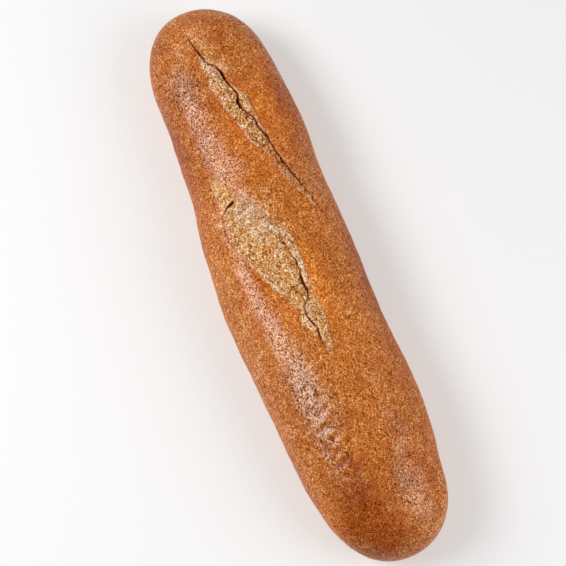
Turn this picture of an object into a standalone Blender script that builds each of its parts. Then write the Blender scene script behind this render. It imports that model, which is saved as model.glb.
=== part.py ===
"""Hoagie roll: a long whole-wheat roll, baked whole, lying on its flat base.

The roll is one solid. Its length runs along X, its width along Y, and it rests on Z = 0
with the origin under the middle of its box. The far end (-X) is the slimmer, blunter one,
and the near end (+X) tapers more slowly. Two slashes cross the top at a shallow angle to
the length: each has torn open, so that crumb swells out beside a narrow crack.
"""
import math

import bmesh
import bpy
from mathutils import Vector

# ---------------------------------------------------------------- driving dimensions (m)
ROLL_LENGTH = 0.305
ROLL_WIDTH = 0.073
ROLL_HEIGHT = 0.050

FAR_SLIMMING = 0.25       # part of the width lost towards the far end
NEAR_SLIMMING = 0.08      # and towards the near end
FAR_NOSE = 0.039          # how far back from its tip each end is rounded
NEAR_NOSE = 0.118
FAR_BLUNTNESS = 3.0       # 2 is an ellipse, and more is squarer
NEAR_BLUNTNESS = 6.2
BOW = 0.0017              # the sides wander this far as the roll runs along
BOW_WAVE = 0.190          # from one bulge to the next on the same side
BOW_MIDDLE = 0.006        # where the roll leans furthest to -Y
NEAR_TIP_LEAN = 0.003     # the near tip leans to +Y

WIDEST_HEIGHT = 0.42      # the widest line, as a part of the height
TOP_FULLNESS = 2.15       # section above the widest line
BASE_FULLNESS = 2.6       # section below it
BASE_SINK = 0.005         # depth that the flat base takes off the rounded section
BASE_EDGE = 0.0015        # softness of the edge round the base

# Hand shaping leaves broad lumps and dents: place along the roll, angle round the section
# in degrees (0 is the +Y side, 90 the top, 180 the -Y side), height, and reach.
LUMPS = [
    (-0.116, 170.0, 0.0014, 0.016),
    (-0.052, 175.0, -0.0015, 0.015),
    (0.008, 165.0, 0.0008, 0.022),
    (-0.048, 10.0, -0.0015, 0.018),
    (0.002, 20.0, 0.0013, 0.018),
    (0.074, 15.0, 0.0008, 0.020),
    (0.116, 0.0, -0.0016, 0.014),
    (0.060, 80.0, 0.0010, 0.030),
    (0.104, 120.0, -0.0008, 0.022),
]
LUMP_SPREAD = 50.0        # how far round the section a lump spreads, in degrees

RINGS = 64                # sections along the roll
SEGMENTS = 60             # points round each section
END_CROWDING = 4.0        # how far into the body the sections keep an even spacing

# Each slash runs from start to end in plan (x, y). The crumb swells between its left and
# right edges, measured sideways from that line. The crack runs beside the crumb.
SLASHES = [
    {
        "name": "far_slash",
        "start": (-0.132, -0.0060),
        "end": (-0.016, 0.0250),
        "crumb": (-0.0060, 0.0005),
        "swell": 0.0002,
        "valley": 0.0018,
        "valley_width": 0.0095,
        "crack": [(-0.126, -0.0050), (-0.106, 0.0026), (-0.085, 0.0056), (-0.062, 0.0123),
                  (-0.040, 0.0186), (-0.022, 0.0232)],
        "crack_width": 0.0018,
        "crack_depth": 0.0040,
    },
    {
        "name": "middle_slash",
        "start": (-0.056, -0.0210),
        "end": (0.050, 0.0010),
        "crumb": (-0.0080, 0.0105),
        "swell": 0.0014,
        "valley": 0.0014,
        "valley_width": 0.0130,
        "crack": [(-0.012, 0.0000), (0.006, 0.0016), (0.022, 0.0004), (0.034, -0.0014),
                  (0.046, -0.0002)],
        "crack_width": 0.0018,
        "crack_depth": 0.0040,
    },
]
CRACK_STEPS = 14          # sections along each crack's cutter


# ---------------------------------------------------------------- form of the roll
def smooth_step(t):
    """Rise smoothly from 0 at t = 0 to 1 at t = 1."""
    t = min(max(t, 0.0), 1.0)
    return t * t * (3.0 - 2.0 * t)


def nose(x):
    """How much of its full section the roll has at x: 1 along the body, 0 at the tips."""
    length, power = (FAR_NOSE, FAR_BLUNTNESS) if x < 0.0 else (NEAR_NOSE, NEAR_BLUNTNESS)
    along = (abs(x) - (ROLL_LENGTH / 2 - length)) / length
    along = min(max(along, 0.0), 1.0)
    return math.sqrt(1.0 - along ** power)


def girth(x):
    """The body's own slimming towards the ends, before the noses are rounded."""
    slimming = FAR_SLIMMING if x < 0.0 else NEAR_SLIMMING
    return 1.0 - slimming * (x / (ROLL_LENGTH / 2)) ** 2


def core(x):
    """The middle of the section at x, on the widest line."""
    lean = NEAR_TIP_LEAN * smooth_step((x / (ROLL_LENGTH / 2) - 0.6) / 0.4)
    y = lean - BOW * math.cos(2 * math.pi * (x - BOW_MIDDLE) / BOW_WAVE)
    return Vector((x, y, WIDEST_HEIGHT * ROLL_HEIGHT))


def soft_floor(z):
    """Flatten what lies below the base plane, with a soft edge round the flat."""
    if z <= -BASE_EDGE:
        return 0.0
    if z >= BASE_EDGE:
        return z
    return (z + BASE_EDGE) ** 2 / (4 * BASE_EDGE)


def rounded(value, fullness):
    """One coordinate of a superellipse from a sine or cosine."""
    return math.copysign(abs(value) ** (2.0 / fullness), value)


def plain_skin(x, angle):
    """A point of the unslashed roll: angle 0 is the +Y side, and a quarter turn is the top."""
    middle = core(x)
    across, up = math.cos(angle), math.sin(angle)
    fullness = TOP_FULLNESS if up >= 0.0 else BASE_FULLNESS
    if up >= 0.0:
        reach = (ROLL_HEIGHT * girth(x) - middle.z) * nose(x)
    else:
        reach = (middle.z + BASE_SINK) * nose(x)
    y = middle.y + ROLL_WIDTH / 2 * girth(x) * nose(x) * rounded(across, fullness)
    z = soft_floor(middle.z + reach * rounded(up, fullness))
    return Vector((x, y, z))


def lumps(x, angle):
    """How far the lumps and dents of hand shaping move the skin outwards."""
    total = 0.0
    for place, degrees, height, reach in LUMPS:
        turn = math.degrees(angle) - degrees
        turn = (turn + 180.0) % 360.0 - 180.0
        total += height * math.exp(-((x - place) / reach) ** 2 - (turn / LUMP_SPREAD) ** 2)
    return total


def slash_relief(x, y):
    """How far the crust stands out (or in, if negative) at a place seen from above."""
    relief = 0.0
    for slash in SLASHES:
        start, end = Vector(slash["start"]), Vector(slash["end"])
        line = end - start
        place = Vector((x, y)) - start
        along = place.dot(line) / line.length_squared
        if not 0.0 < along < 1.0:
            continue
        side = (line.x * place.y - line.y * place.x) / line.length
        fade = math.sin(math.pi * along)
        relief -= slash["valley"] * fade * math.exp(-(side / slash["valley_width"]) ** 2)
        left, right = slash["crumb"]
        half = (right - left) / 2 * (0.35 + 0.65 * fade)
        offset = (side - (left + right) / 2) / half
        if abs(offset) < 1.0:
            relief += (slash["swell"] + slash["valley"]) * fade * (1.0 - offset ** 4)
    return relief


def skin(x, angle):
    """A point of the roll's surface, with its lumps and the slashes' relief."""
    point = plain_skin(x, angle)
    if nose(x) < 0.05:
        return point
    outward = point - core(x)
    outward.normalize()
    if math.sin(angle) <= 0.0:
        outward.z = 0.0
        return point + outward * lumps(x, angle)
    return point + outward * (lumps(x, angle) + slash_relief(point.x, point.y))


# ---------------------------------------------------------------- building
def clear_scene():
    for item in list(bpy.data.objects):
        bpy.data.objects.remove(item, do_unlink=True)


def new_collection(name):
    collection = bpy.data.collections.new(name)
    bpy.context.scene.collection.children.link(collection)
    return collection


def crust_material():
    """Golden brown whole-wheat crust with a soft sheen."""
    material = bpy.data.materials.new("browned_crust")
    material.use_nodes = True
    shader = material.node_tree.nodes["Principled BSDF"]
    shader.inputs["Base Color"].default_value = (0.479, 0.152, 0.030, 1.0)
    shader.inputs["Roughness"].default_value = 0.5
    shader.inputs["Metallic"].default_value = 0.0
    return material


def mesh_object(name, mesh_builder, collection):
    mesh = bpy.data.meshes.new(name)
    mesh_builder.to_mesh(mesh)
    mesh_builder.free()
    item = bpy.data.objects.new(name, mesh)
    collection.objects.link(item)
    return item


def shaped_roll():
    """A sphere whose poles are turned to the ends, with each vertex moved onto the skin."""
    builder = bmesh.new()
    bmesh.ops.create_uvsphere(builder, u_segments=SEGMENTS, v_segments=RINGS, radius=1.0)
    for vertex in builder.verts:
        even = 1.0 - 2.0 * math.acos(max(-1.0, min(1.0, vertex.co.z))) / math.pi
        crowded = even * (END_CROWDING + 1.0 - abs(even) ** END_CROWDING) / END_CROWDING
        angle = math.atan2(vertex.co.y, vertex.co.x)
        vertex.co = skin(ROLL_LENGTH / 2 * crowded, angle)
    bmesh.ops.recalc_face_normals(builder, faces=builder.faces)
    return builder


def crack_point(slash, t):
    """A smooth line through the crack's points, at t from 0 to 1."""
    points = [Vector(p) for p in slash["crack"]]
    spans = len(points) - 1
    index = min(int(t * spans), spans - 1)
    u = t * spans - index
    before = points[max(index - 1, 0)]
    first, last = points[index], points[index + 1]
    after = points[min(index + 2, spans)]
    return 0.5 * (2 * first + (last - before) * u
                  + (2 * before - 5 * first + 4 * last - after) * u ** 2
                  + (3 * first - before - 3 * last + after) * u ** 3)


def top_angle(x, y):
    """The angle round the section at which the upper skin passes over (x, y)."""
    low, high = 0.0, math.pi
    for _ in range(40):
        middle = (low + high) / 2
        if plain_skin(x, middle).y > y:
            low = middle
        else:
            high = middle
    return (low + high) / 2


def crack_cutter(slash, collection):
    """A thin blade that follows the crack, widest in the middle and pointed below."""
    builder = bmesh.new()
    sections = []
    for step in range(CRACK_STEPS + 1):
        t = step / CRACK_STEPS
        place = crack_point(slash, t)
        ahead = crack_point(slash, min(t + 0.02, 1.0)) - crack_point(slash, max(t - 0.02, 0.0))
        across = Vector((-ahead.y, ahead.x, 0.0)).normalized()
        surface = skin(place.x, top_angle(place.x, place.y))
        outward = (surface - core(place.x)).normalized()
        fullness = 0.25 + 0.75 * math.sin(math.pi * t)
        half_width = slash["crack_width"] / 2 * fullness
        depth = slash["crack_depth"] * fullness
        corners = [surface - outward * depth,
                   surface + across * half_width,
                   surface + across * 2 * half_width + outward * depth,
                   surface - across * 2 * half_width + outward * depth,
                   surface - across * half_width]
        sections.append([builder.verts.new(corner) for corner in corners])
    for one, two in zip(sections, sections[1:]):
        for side in range(len(one)):
            other = (side + 1) % len(one)
            builder.faces.new((one[side], one[other], two[other], two[side]))
    builder.faces.new(sections[0])
    builder.faces.new(reversed(sections[-1]))
    bmesh.ops.recalc_face_normals(builder, faces=builder.faces)
    cutter = mesh_object(slash["name"] + "_crack_cutter", builder, collection)
    cutter.hide_render = True
    cutter.display_type = "WIRE"
    return cutter


def centre_on_base(item):
    """Move the mesh so that the origin lies under the middle of its box."""
    corners = [Vector(corner) for corner in item.bound_box]
    low_x, high_x = min(c.x for c in corners), max(c.x for c in corners)
    low_y, high_y = min(c.y for c in corners), max(c.y for c in corners)
    shift = Vector((-(low_x + high_x) / 2, -(low_y + high_y) / 2, 0.0))
    for vertex in item.data.vertices:
        vertex.co += shift
    return shift


def build_roll():
    parts = new_collection("hoagie_roll")
    cutters = new_collection("hoagie_roll_cutters")
    roll = mesh_object("roll", shaped_roll(), parts)
    shift = centre_on_base(roll)
    roll.data.materials.append(crust_material())
    for slash in SLASHES:
        cutter = crack_cutter(slash, cutters)
        cutter.location = shift
        cut = roll.modifiers.new(slash["name"] + "_crack", "BOOLEAN")
        cut.operation = "DIFFERENCE"
        cut.solver = "EXACT"
        cut.object = cutter
    roll.data.shade_smooth()
    return roll


clear_scene()
build_roll()
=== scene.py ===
# %% [markdown]
# # A hoagie roll
# A hoagie roll is a long bread roll: a golden whole-wheat crust, two slashes that tore open
# in the oven, and rough pale crumb showing in them. The sizes come from a fixed model of the
# roll, which is loaded first. Everything made below lies in that model's own frame, in
# metres, with the roll's length along X and its flat base on Z = 0.

# %% Load the fixed model
import math

import bpy
import numpy as np
from mathutils import Matrix, Vector, noise


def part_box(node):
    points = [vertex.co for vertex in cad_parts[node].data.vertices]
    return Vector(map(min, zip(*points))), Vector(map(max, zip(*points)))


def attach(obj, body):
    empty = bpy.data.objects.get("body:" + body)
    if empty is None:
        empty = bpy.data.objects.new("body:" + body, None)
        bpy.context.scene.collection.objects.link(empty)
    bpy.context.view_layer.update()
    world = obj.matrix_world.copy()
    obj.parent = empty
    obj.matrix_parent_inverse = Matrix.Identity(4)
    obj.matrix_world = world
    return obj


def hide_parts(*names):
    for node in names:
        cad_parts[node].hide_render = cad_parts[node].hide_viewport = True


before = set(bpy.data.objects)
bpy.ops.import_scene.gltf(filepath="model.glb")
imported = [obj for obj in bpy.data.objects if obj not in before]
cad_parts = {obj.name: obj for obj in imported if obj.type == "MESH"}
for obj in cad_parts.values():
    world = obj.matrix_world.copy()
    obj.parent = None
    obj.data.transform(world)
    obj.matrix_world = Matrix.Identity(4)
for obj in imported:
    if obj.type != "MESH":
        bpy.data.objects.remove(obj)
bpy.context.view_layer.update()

MM = 0.001
box_low, box_high = (np.array(corner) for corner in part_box("roll"))
box_size = box_high - box_low
print("the roll's box in mm:", (box_size / MM).round(1))

# %% [markdown]
# ## The plain form
# A roll is a sausage of dough: round in section, flat below, slimmer at one end. Boxes and
# cylinders don't make it, but a sphere does, if every ring of it becomes one section of the
# roll. So the form is written as a few functions: how full the section is at each place
# along the roll, where its middle lies, and how its outline runs round. The sizes are
# parts of the loaded box, so the form fits it.

# %% Sizes of the plain form
LENGTH = box_size[0]
WIDTH = 0.953 * box_size[1]         # the bow and the relief fill the rest of the box
HEIGHT = 0.968 * box_size[2]
HALF = LENGTH / 2

FAR_SLIMMING, NEAR_SLIMMING = 0.25, 0.08    # share of its girth that each end loses
FAR_NOSE, NEAR_NOSE = 39 * MM, 118 * MM     # how far from its tip each end starts to close
FAR_BLUNTNESS, NEAR_BLUNTNESS = 3.0, 6.2
BOW, BOW_WAVE, BOW_MIDDLE = 1.7 * MM, 190 * MM, 6 * MM
NEAR_TIP_LEAN, LEAN_START = 3 * MM, 0.6     # past this share of the half, the tip leans to +Y
WIDEST = 0.42 * HEIGHT                      # how high a section is widest
TOP_FULLNESS, BASE_FULLNESS = 2.15, 2.6     # 2 is an ellipse, and more is squarer
BASE_SINK, BASE_EDGE = 5 * MM, 1.5 * MM     # how much the flat base takes off, and its soft edge
print("widest section:", round(WIDTH / MM, 1), "mm wide,", round(HEIGHT / MM, 1), "mm high")


# %% Functions for the plain form
def smooth_step(t):
    """A soft rise from 0 to 1 while t goes from 0 to 1."""
    t = np.clip(t, 0, 1)
    return t * t * (3 - 2 * t)


def nose(x):
    """How open the roll is at x: 1 along its body, closing to 0 at either tip."""
    far = x < 0
    reach = np.where(far, FAR_NOSE, NEAR_NOSE)
    power = np.where(far, FAR_BLUNTNESS, NEAR_BLUNTNESS)
    along = np.clip((np.abs(x) - (HALF - reach)) / reach, 0, 1)
    return np.sqrt(1 - along ** power)


def girth(x):
    """How thick the body is at x: 1 in the middle, and less towards each end."""
    return 1 - np.where(x < 0, FAR_SLIMMING, NEAR_SLIMMING) * (x / HALF) ** 2


def core_y(x):
    """Where the roll's middle lies across it: slightly bowed, as dough is laid by hand."""
    lean = NEAR_TIP_LEAN * smooth_step((x / HALF - LEAN_START) / (1 - LEAN_START))
    return lean - BOW * np.cos(2 * math.pi * (x - BOW_MIDDLE) / BOW_WAVE)


def rounded(value, fullness):
    """A sine or a cosine, bent so that the section it draws gets fuller corners."""
    return np.sign(value) * np.abs(value) ** (2 / fullness)


def soft_floor(z):
    """Heights above the table, with what would lie under it flat and the edge eased."""
    eased = (z + BASE_EDGE) ** 2 / (4 * BASE_EDGE)
    return np.where(z <= -BASE_EDGE, 0, np.where(z >= BASE_EDGE, z, eased))


def plain_skin(x, angle):
    """Points of the roll before any relief: angle 0 is the +Y side, and 90 degrees the top."""
    top = np.sin(angle) >= 0
    fullness = np.where(top, TOP_FULLNESS, BASE_FULLNESS)
    reach = np.where(top, HEIGHT * girth(x) - WIDEST, WIDEST + BASE_SINK) * nose(x)
    y = core_y(x) + WIDTH / 2 * girth(x) * nose(x) * rounded(np.cos(angle), fullness)
    z = soft_floor(WIDEST + reach * rounded(np.sin(angle), fullness))
    return np.stack([x, y, z], axis=1)


top_of_middle = plain_skin(np.zeros(1), np.full(1, math.pi / 2))[0]
print("the top of the middle section, in mm:", (top_of_middle / MM).round(1))

# %% [markdown]
# ## Lumps of hand shaping
# A baker's hands leave slow lumps and hollows on the dough, a millimetre or so high. They
# could be sculpted by eye, but then they can't be changed later. Here each one is a line of
# four numbers: a bell-shaped hill, or a hollow where its height is below 0.

# %% Lumps of hand shaping
# Place along the roll, degrees round it, height and reach along it; lengths in millimetres.
LUMPS = [
    (-116, 170, 1.4, 16),
    (-52, 175, -1.5, 15),
    (8, 165, 0.8, 22),
    (-48, 10, -1.5, 18),
    (2, 20, 1.3, 18),
    (74, 15, 0.8, 20),
    (116, 0, -1.6, 14),
    (60, 80, 1.0, 30),
    (104, 120, -0.8, 22),
]
LUMP_SPREAD = 50                    # reach round the roll, in degrees


def lumps(x, angle):
    """The height of all the lumps at each place along and angle round the roll."""
    total = np.zeros_like(x)
    for place, degrees, height, reach in LUMPS:
        turn = (np.degrees(angle) - degrees + 180) % 360 - 180
        total += height * MM * np.exp(-((x / MM - place) / reach) ** 2 - (turn / LUMP_SPREAD) ** 2)
    return total


print(len(LUMPS), "lumps and hollows")

# %% [markdown]
# ## The torn slashes, seen from above
# A baker slashes the risen dough with a blade held at a slant. In the oven the cut opens:
# one lip lifts, and rough crumb swells out beside a narrow crack. Drawn from above, a crack
# is a line, and a patch of torn crumb is a band between two lines. Each line needs only the
# points where it turns, in millimetres, and is read as a smooth curve between them.

# %% Lines of the cracks
CRACKS = {
    "far": {
        "x": [-131, -124, -118, -114, -110, -105, -101, -97, -91.5, -86.5, -82,
              -76, -70, -64, -60, -54, -46, -38, -30, -18],
        "y": [-6.1, -4.6, -3.2, -2.4, 1.4, 3.0, 3.3, 4.5, 6.3, 4.8, 6.0,
              9.2, 9.6, 12.2, 12.6, 14.0, 16.1, 18.9, 21.1, 24.2],
        "half_width": [0.3, 0.5, 0.45, 0.4, 0.35, 0.9, 0.7, 0.5, 0.45, 1.1, 0.4,
                       0.5, 0.5, 0.6, 0.4, 0.5, 0.6, 0.5, 0.4, 0.15],
        "depth": [0.8, 1.6, 1.6, 1.2, 1.2, 2.3, 2.2, 1.8, 1.6, 1.3, 1.1,
                  1.6, 1.7, 2.0, 1.5, 1.7, 2.0, 1.9, 1.4, 0.3],
    },
    "middle": {
        "x": [-16, -9, -4, 1, 7, 12, 18, 22, 25, 30, 34, 37, 41, 48],
        "y": [-0.9, -0.7, -0.1, 1.5, 1.7, 1.0, 1.3, 0.4, -2.2, -3.0, -1.9, -0.7, -1.0, 0.0],
        "half_width": [0.1, 0.4, 0.22, 0.35, 0.38, 0.6, 0.6, 0.4, 0.35, 0.45, 0.45, 0.4, 0.45, 0.2],
        "depth": [0.2, 1.2, 0.8, 1.2, 1.5, 2.0, 2.2, 1.6, 1.4, 1.7, 1.6, 1.4, 1.6, 0.5],
    },
    "pit": {
        "x": [-38.4, -37.2, -35.8, -34.4],
        "y": [-15.8, -17.4, -19.6, -21.8],
        "half_width": [0.35, 1.15, 0.95, 0.35],
        "depth": [0.5, 3.0, 2.6, 0.4],
    },
}
print("cracks:", ", ".join(CRACKS))

# %% Bands of torn crumb
# "right" is a band's +Y side, and "toast" says how golden its crumb baked, from 0 to 1.
TORN_BANDS = {
    "far_strip": {
        "toast": 0.35,
        "x": [-119, -112, -104, -98, -92, -86, -82, -76, -69, -62, -57, -50, -41, -36, -24],
        "right": [-3.2, -1.0, 3.1, 4.3, 6.1, 4.8, 6.0, 9.2, 10.0, 12.6, 13.2, 15.0, 17.8, 19.4, 22.6],
        "left": [-4.9, -5.4, -4.6, -5.0, -3.2, -2.4, -1.0, 0.4, 2.0, 4.4, 8.0, 9.8, 12.4, 15.4, 21.2],
    },
    "far_lip": {
        "toast": 0.2,
        "x": [-96, -92, -88, -83, -78, -72, -66],
        "right": [5.8, 8.0, 10.5, 10.4, 10.6, 10.9, 13.0],
        "left": [5.0, 6.6, 5.6, 5.4, 8.6, 9.4, 12.2],
    },
    "middle_patch": {
        "toast": 0.0,
        "x": [-55, -48, -34, -24, -17, -10, 0, 8, 14, 20, 27],
        "right": [-22.6, -17.2, -8.2, -2.6, 1.7, 4.2, 4.8, 4.5, 3.5, 2.0, -1.6],
        "left": [-24.0, -24.2, -23.4, -24.2, -23.4, -21.6, -18.2, -15.2, -12.0, -8.8, -4.4],
    },
    "lower_left": {
        "toast": 0.1,
        "x": [27, 31, 35, 39, 42],
        "right": [-2.7, -3.0, -1.7, -0.9, -1.1],
        "left": [-5.2, -6.2, -5.4, -3.2, -1.6],
    },
    "lower_right": {
        "toast": 0.1,
        "x": [20, 25, 30, 35, 40, 45, 51],
        "right": [2.6, 5.0, 5.2, 4.4, 3.8, 3.2, 1.7],
        "left": [1.0, -2.0, -3.0, -1.6, -1.0, -0.6, 0.8],
    },
}
print("bands of torn crumb:", ", ".join(TORN_BANDS))

# %% Read a line and a crack
SLOPE_STEP, STEEPEST = 0.5 * MM, 1.2


def line_at(points_x, points_y, x):
    """A smooth curve through points given in millimetres, read at x in metres."""
    px, py = np.array(points_x) * MM, np.array(points_y) * MM
    slope = np.gradient(py, px)
    spot = np.clip(np.searchsorted(px, x) - 1, 0, len(px) - 2)
    span = px[spot + 1] - px[spot]
    t = np.clip((x - px[spot]) / span, 0, 1)
    rise = py[spot + 1] - py[spot]
    first = t * (1 - t) ** 2 * span * slope[spot]
    last = t * t * (t - 1) * span * slope[spot + 1]
    return py[spot] + rise * smooth_step(t) + first + last


def beyond(line, x):
    """How far x lies outside the stretch that a line covers."""
    return np.maximum(np.maximum(line["x"][0] * MM - x, x - line["x"][-1] * MM), 0)


def crack_offset(crack, x, y):
    """Signed distance across a crack: positive on its +Y side."""
    along = line_at(crack["x"], crack["y"], x)
    slope = (line_at(crack["x"], crack["y"], x + SLOPE_STEP) - along) / SLOPE_STEP
    return (y - along) / np.sqrt(1 + np.clip(slope, -STEEPEST, STEEPEST) ** 2)


def crack_distance(crack, x, y):
    """Distance from a crack's line, measured round its two ends as well."""
    return np.hypot(crack_offset(crack, x, y), beyond(crack, x))


def crack_gap(x, y):
    """Distance beyond the wall of the nearest crack, negative inside it."""
    gaps = []
    for crack in CRACKS.values():
        wide = np.maximum(line_at(crack["x"], crack["half_width"], x), 0)
        gaps.append(crack_distance(crack, x, y) - wide)
    return np.min(gaps, axis=0)


print("gap at the roll's middle:", round(float(crack_gap(np.zeros(1), np.zeros(1))[0] / MM), 1), "mm")

# %% Read the bands
SLANT = 0.93            # the bands' edges run at a slant, so they are nearer than y alone says


def inside_band(band, x, y):
    """Distance from the nearest edge of a band of torn crumb, positive inside it."""
    left = y - line_at(band["x"], band["left"], x)
    right = line_at(band["x"], band["right"], x) - y
    return np.minimum(left, right) * SLANT - beyond(band, x)


def inside_each_band(x, y):
    return np.array([inside_band(band, x, y) for band in TORN_BANDS.values()])


def torn_depth(x, y):
    """Distance inside the torn crumb as a whole, negative out on the crust."""
    return inside_each_band(x, y).max(axis=0)


def toasted(x, y):
    """How golden the torn crumb baked: each band has its own share."""
    shares = np.array([band["toast"] for band in TORN_BANDS.values()])
    return shares[inside_each_band(x, y).argmax(axis=0)]


print("torn depth at x = 0, y = -10 mm:",
      round(float(torn_depth(np.zeros(1), np.full(1, -10 * MM))[0] / MM), 1), "mm")

# %% [markdown]
# ## A sphere with enough faces
# A sphere's poles make good ends for a roll, because its rings close there by themselves.
# The sphere gets one ring for each millimetre or so of the roll. Torn crumb has finer
# detail than crust, so the faces that will lie on the slashes are subdivided twice, and
# their edges end up about a quarter of a millimetre long. That keeps the rest of the mesh
# light.

# %% Turn places on a sphere into places on the roll
RINGS, SEGMENTS = 300, 140
TOP_SHARE = 0.68          # share of the segments that go round the top half
END_CROWDING = 8          # rings keep an even spacing until close to the ends


def read_places(items, name):
    """The x, y and z of each vertex or face, as the rows of one array."""
    places = np.empty(len(items) * 3)
    items.foreach_get(name, places)
    return places.reshape(-1, 3)


def place_on_roll(co):
    """Turn points of the sphere into places along the roll and angles round it."""
    unit = co / np.linalg.norm(co, axis=1, keepdims=True)
    even = 1 - 2 * np.arccos(np.clip(unit[:, 2], -1, 1)) / math.pi
    x = HALF * even * (END_CROWDING + 1 - np.abs(even) ** END_CROWDING) / END_CROWDING
    share = (np.arctan2(unit[:, 1], unit[:, 0]) / (2 * math.pi)) % 1
    top = share * math.pi / TOP_SHARE
    base = math.pi + (share - TOP_SHARE) * math.pi / (1 - TOP_SHARE)
    return x, np.where(share < TOP_SHARE, top, base)


print("a face is about", round(LENGTH / RINGS / MM, 1), "mm long before it is subdivided")

# %% Add the sphere and subdivide it where the slashes will lie
MARGINS = (2.6 * MM, 1.2 * MM)      # how far past the slashes each round of it reaches


def subdivide_near_slashes(piece, margin):
    """Select the faces that will lie near a crack or torn crumb, and subdivide them once."""
    mesh = piece.data
    x, angle = place_on_roll(read_places(mesh.polygons, "center"))
    y = plain_skin(x, angle)[:, 1]
    near = (torn_depth(x, y) > -margin) | (crack_gap(x, y) < margin)
    picked = (np.sin(angle) > 0) & near
    bpy.ops.object.mode_set(mode="EDIT")
    bpy.ops.mesh.select_all(action="DESELECT")
    bpy.ops.object.mode_set(mode="OBJECT")
    mesh.polygons.foreach_set("select", picked)
    bpy.ops.object.mode_set(mode="EDIT")
    bpy.ops.mesh.select_mode(type="FACE")
    bpy.ops.mesh.subdivide(number_cuts=1)
    bpy.ops.object.mode_set(mode="OBJECT")
    print("subdivided", int(picked.sum()), "faces; now", len(mesh.polygons))


bpy.ops.object.select_all(action="DESELECT")
bpy.ops.mesh.primitive_uv_sphere_add(segments=SEGMENTS, ring_count=RINGS, radius=1)
skin = bpy.context.object
skin.name = "roll_skin"
for margin in MARGINS:
    subdivide_near_slashes(skin, margin)

# %% [markdown]
# ## Relief of the crust and the crumb
# A baked surface is never smooth: crust is lumpy and pebbly, torn crumb is ragged, and each
# crack sinks under a raised lip. A Displace modifier could push the skin out by a texture,
# but it can't follow a crack. So the heights are worked out as sums, one kind after
# another, for every vertex at once, and each vertex then moves that far outwards. Noise
# gives the unevenness, and it is the same at every run, because it depends only on the
# place and on a seed number.

# %% Find every vertex's place and its way outwards
TINY = 1e-9             # stands in for a length of 0, so that nothing is divided by 0
x, angle = place_on_roll(read_places(skin.data.vertices, "co"))
base = plain_skin(x, angle)
y = base[:, 1]
middle = np.stack([x, core_y(x), np.full_like(x, WIDEST)], axis=1)
outward = base - middle
outward /= np.maximum(np.linalg.norm(outward, axis=1, keepdims=True), TINY)
from_above = np.sin(angle) > 0
outward[~from_above, 2] = 0         # the lower half only moves sideways: its base stays flat
print(int(from_above.sum()), "of", len(x), "vertices are on the top half")

# %% Noise, knobs and hills
NOISE_SOFTNESS, NOISE_SCALING = 0.8, 2.0    # each octave is half the size, and weaker
SEED_SHIFT = np.array([7.1, 3.7, 5.3])
KNOB_BEND, KNOB_BEND_SIZE = 0.45, 1.2       # as shares of a knob's size
CREASE, LOWEST_KNOB, LOT_SPREAD = 0.3, 0.35, 31


def noise_at(points, size, seed, octaves=2):
    """Smooth noise from about -1 to 1, with lumps of the given size in millimetres."""
    shifted = points / (size * MM) + seed * SEED_SHIFT
    return np.array([noise.fractal(place, NOISE_SOFTNESS, NOISE_SCALING, octaves)
                     for place in shifted.tolist()])


def knobs_at(points, size, seed):
    """Knobs of torn crumb: heights of 0 in the creases and up to 1, and a lot for each knob."""
    bend = np.stack([noise_at(points, KNOB_BEND_SIZE * size, seed + axis) for axis in range(3)], axis=1)
    heights, lots = [], []
    for place in (points / (size * MM) + KNOB_BEND * bend + seed).tolist():
        distances, centres = noise.voronoi(place)
        lot = noise.cell(centres[0] * LOT_SPREAD) % 1
        crease = min((distances[1] - distances[0]) / CREASE, 1)
        heights.append(crease * (LOWEST_KNOB + (1 - LOWEST_KNOB) * lot))
        lots.append(lot)
    return np.array(heights), np.array(lots)


def here_and_there(cover, gaps, size, seed, octaves=1):
    """A mask of 1 broken by gaps of 0, where noise is low; cover says how much of it is left."""
    return smooth_step(cover + gaps * noise_at(base, size, seed, octaves))


def hill(place_x, place_y, reach_x, reach_y):
    """1 at a place on the top half and fading to 0 around it; all in millimetres."""
    along = (x / MM - place_x) / reach_x
    across = (y / MM - place_y) / reach_y
    return np.exp(-along ** 2 - across ** 2) * from_above


print("a hill with a reach of 9 and 5 mm covers", int((hill(0, 0, 9, 5) > 0.5).sum()), "vertices")

# %% [markdown]
# ## How near the torn crumb and the cracks are
# A tear is never a smooth line. Two sizes of noise are added to the distances before they
# are used, so that the same lines give ragged edges: a slow wander and a fine fray. The
# distances are kept, because the material needs them too.

# %% Fray the distances
WANDER, WANDER_SIZE = 0.9 * MM, 3.4
FRAY, FRAY_SIZE = 0.5 * MM, 1.3
CRACK_WANDER, CRACK_FRAY = 0.35, 0.5        # the share of each that bends a crack
FAR_OFF = 20 * MM                           # stands for nowhere near
CRUMB_START, CRUMB_EDGE = -0.2 * MM, 0.8 * MM
wander = WANDER * noise_at(base, WANDER_SIZE, seed=1, octaves=3)
fray = FRAY * noise_at(base, FRAY_SIZE, seed=2, octaves=3)
torn = np.where(from_above, torn_depth(x, y) + wander + fray, -FAR_OFF)
jagged = y + CRACK_WANDER * wander + CRACK_FRAY * fray
gap = np.where(from_above, crack_gap(x, jagged), FAR_OFF)
in_crumb = smooth_step((torn - CRUMB_START) / CRUMB_EDGE)
print("torn crumb covers", int((torn > 0).sum()), "vertices")

# %% [markdown]
# ## Lumps and grain
# The slow lumps come first, over all of the roll. The baked crust then gets two finer sizes
# of grain, which stop where the torn crumb starts, because crumb gets its own relief later.
# A bump map could fake them, but the roll's outline would then stay as smooth as plastic.

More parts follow.
